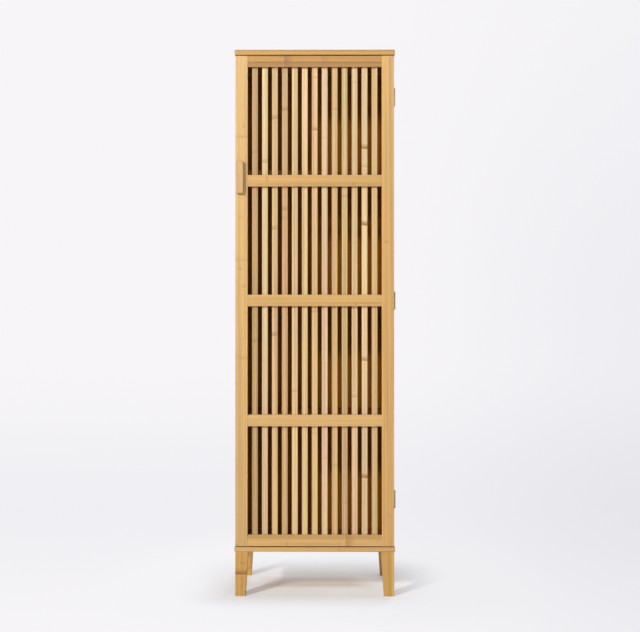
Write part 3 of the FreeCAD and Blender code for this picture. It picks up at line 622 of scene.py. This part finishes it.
def moulded(name, tone, rough, seed):
    """Moulded plastic or ground ferrite: an even colour with a fine pebble."""
    material, wire, shader = new_material(name)
    x, y, z = wire.coordinate("Object").split()
    pebble = wire.noise(wire.point(x * PEBBLES, y * PEBBLES, z * PEBBLES + seed), 2.0)
    patch = wire.noise(wire.point(x * BLOTCHES, y * BLOTCHES + seed, z * BLOTCHES), 2.0)
    bump = {"Strength": 0.25, "Distance": PEBBLE_RELIEF, "Height": pebble}
    feed(
        wire,
        shader,
        Base_Color=patch.blend(lighter(tone, 0.94), lighter(tone, 1.04)),
        Roughness=rough + (pebble - 0.5) * 0.1,
        Normal=wire.node("ShaderNodeBump", {}, bump),
    )
    return material


dress(moulded("catch_plastic", colour(214, 211, 203), 0.45, 1.0), "catch_housing")
dress(moulded("ferrite", colour(58, 57, 60), 0.5, 2.0), "catch_magnet")
dress(metal("strike_steel", colour(186, 184, 180), 0.3, 6.0), "strike_plate")

# Floor: a wide sheet of pale studio paper. It shows near the cabinet, where the shadow falls, and a painted
# shadow makes it darker and browner where that is deepest. Farther out it melts into the backdrop.
BACKDROP = colour(247, 245, 248)
BACKDROP_SHADE = colour(226, 226, 231)
PAPER = colour(242, 247, 254)
SHADE_SHARES = (0.70, 0.62, 0.52)
PAPER_PAINTED_SHADOW = [level * share for level, share in zip(PAPER[:3], SHADE_SHARES)] + [1.0]
PALE_LEFT = colour(244, 243, 246)
PALE_RIGHT = colour(239, 238, 241)
PALE_EDGES = (-0.35, 0.55)
PAPER_GLOW = 0.10
FLOOR_SIZE = 12.0
SHADOW_REACH = 0.20
REACH_BEHIND = 0.32
PAINTED_SHADOW_CENTRE = 0.045
PAINTED_SHADOW_WIDTHS = (0.09, 0.20)
PAINTED_SHADOW_LENGTHS = (0.035, 0.10)
FADE_START = -0.3
CLEAR_END = 2.6


def ray(wire, kind):
    """1 for a ray of one kind, such as Camera, and 0 for every other."""
    return wire.node("ShaderNodeLightPath", {}, {}, out=f"Is {kind} Ray")


bpy.ops.mesh.primitive_plane_add(size=FLOOR_SIZE)
floor = bpy.context.object
floor.name = "studio_floor"
floor_paper, wire, shader = new_material("floor_paper")
shader.inputs["Roughness"].default_value = 0.9
shader.inputs["Specular IOR Level"].default_value = 0.1
x, y = wire.coordinate("Object").split("XY")
# Painted shadow: a soft darker, browner patch under the back of the bottom panel.
deep = (1.0 - x.size().between(*PAINTED_SHADOW_WIDTHS)) * (1.0 - (y - PAINTED_SHADOW_CENTRE).size().between(*PAINTED_SHADOW_LENGTHS))
feed(wire, shader, Base_Color=deep.blend(PAPER, PAPER_PAINTED_SHADOW))
camera_ray = ray(wire, "Camera")
glow = wire.node("ShaderNodeEmission", {}, {"Color": BACKDROP, "Strength": camera_ray * PAPER_GLOW})
paper = wire.node("ShaderNodeAddShader", {}, {0: Wire(wire.tree, shader.outputs[0]), 1: glow})

# How far a point lies from the cabinet, as a share of the shadow's reach there.
low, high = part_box("bottom_panel")
beside = wire.maths("MAXIMUM", x.size() - high.x, 0.0) / SHADOW_REACH
behind = wire.maths("MAXIMUM", y - high.y, 0.0) / REACH_BEHIND
in_front = wire.maths("MAXIMUM", low.y - y, 0.0) / SHADOW_REACH
distance = wire.maths("SQRT", beside * beside + behind * behind + in_front * in_front)
fade = distance.between(FADE_START, 1.0) * camera_ray
# Farther out the paper glows in a colour with painted shade, darker towards the right, that meets the
# backdrop.
pale = wire.node("ShaderNodeEmission", {}, {"Color": x.between(*PALE_EDGES).blend(PALE_LEFT, PALE_RIGHT)})
near = wire.node("ShaderNodeMixShader", {}, {0: fade, 1: paper, 2: pale})
clear = wire.node("ShaderNodeBsdfTransparent", {}, {})
clearing = distance.between(1.0, CLEAR_END) * camera_ray
mixed = wire.node("ShaderNodeMixShader", {}, {0: clearing, 1: near, 2: clear})
wire.tree.links.new(mixed.socket, wire.tree.nodes["Material Output"].inputs["Surface"])
floor.data.materials.append(floor_paper)

# Light: an even studio dome, a pale backdrop that polished pieces mirror, and a dimmer room before it. A
# key box stands at the front left and a weaker one at the front right. A broad bank over the camera gives
# the lacquer its sheen, and two others light the back and the right side.
DOME = 0.23
DOME_TINT = colour(255, 253, 251)
ROOM_SHADE = 0.25
ROOM_EDGES = (-0.35, 0.25)
FOOT_DROP = 0.145
FOOT_HEIGHT = 0.11
FOOT_SHADE = 0.35
SIDE_SPREAD = 0.26
SIDE_SHADE = 0.45
world = bpy.data.worlds.new("studio")
bpy.context.scene.world = world
world.use_nodes = True
sky = Wire(world.node_tree)
to_camera = ray(sky, "Camera")
seen = sky.maths("MAXIMUM", sky.maths("MAXIMUM", to_camera, ray(sky, "Glossy")), ray(sky, "Transmission"))
right, ahead, up = sky.coordinate("Generated").split()
# Painted shade: the backdrop is a little darker at its foot and towards the right.
foot = 1.0 - (up + FOOT_DROP).size().between(0.0, FOOT_HEIGHT)
side = right.between(0.0, SIDE_SPREAD) * (1.0 - up.between(0.0, 0.25) * 0.6)
backdrop = (foot * FOOT_SHADE + side * SIDE_SHADE).blend(BACKDROP, BACKDROP_SHADE)
mirrored = ahead.between(*ROOM_EDGES) * (1.0 - ROOM_SHADE) + ROOM_SHADE
shown = sky.maths("MAXIMUM", to_camera, mirrored)
dome_light = sky.node("ShaderNodeBackground", {}, {"Color": DOME_TINT, "Strength": DOME})
dome_seen = sky.node("ShaderNodeBackground", {}, {"Color": backdrop, "Strength": shown})
dome = sky.node("ShaderNodeMixShader", {}, {0: seen, 1: dome_light, 2: dome_seen})
world.node_tree.links.new(dome.socket, world.node_tree.nodes["World Output"].inputs["Surface"])


def softbox(name, place, aim, power, width, height, tint):
    """An area lamp that looks at a point."""
    lamp = bpy.data.lights.new(name, "AREA")
    lamp.shape = "RECTANGLE"
    lamp.energy = power
    lamp.size = width
    lamp.size_y = height
    lamp.color = tint
    box = bpy.data.objects.new(name, lamp)
    bpy.context.collection.objects.link(box)
    box.location = place
    box.rotation_euler = (Vector(aim) - Vector(place)).to_track_quat("-Z", "Y").to_euler()


softbox("key_box", (-3.54, -5.61, 3.50), (0.0, -0.15, 0.85), 350.0, 0.6, 0.6, (1.0, 0.98, 0.95))
softbox("fill_box", (2.72, -4.35, 2.60), (0.0, -0.15, 0.85), 16.0, 1.5, 1.5, (1.0, 0.99, 0.97))
softbox("front_bank", (0.0, -5.60, 2.90), (0.0, -0.15, 1.10), 34.0, 1.9, 1.6, (1.0, 1.0, 1.0))
softbox("back_bank", (0.90, 4.20, 4.40), (0.0, 0.15, 1.00), 85.0, 3.0, 2.0, (1.0, 1.0, 1.0))
softbox("side_bank", (4.60, 0.80, 2.60), (0.2, 0.0, 0.85), 28.0, 2.2, 1.6, (1.0, 1.0, 1.0))

# Camera: a long lens, level with the middle of the door and four metres in front of it. It is shifted down
# a little, so that upright lines stay upright.
lens = bpy.data.cameras.new("camera")
lens.lens = 73.86
lens.sensor_width = 36.0
lens.shift_y = -0.03
lens.clip_end = 100.0
camera = bpy.data.objects.new("camera", lens)
bpy.context.collection.objects.link(camera)
camera.location = (0.0416, -4.0, 0.8431)
camera.rotation_euler = (math.pi / 2 + 0.0084, 0.0, 0.00678)
bpy.context.scene.camera = camera

bpy.context.scene.view_settings.view_transform = "Standard"
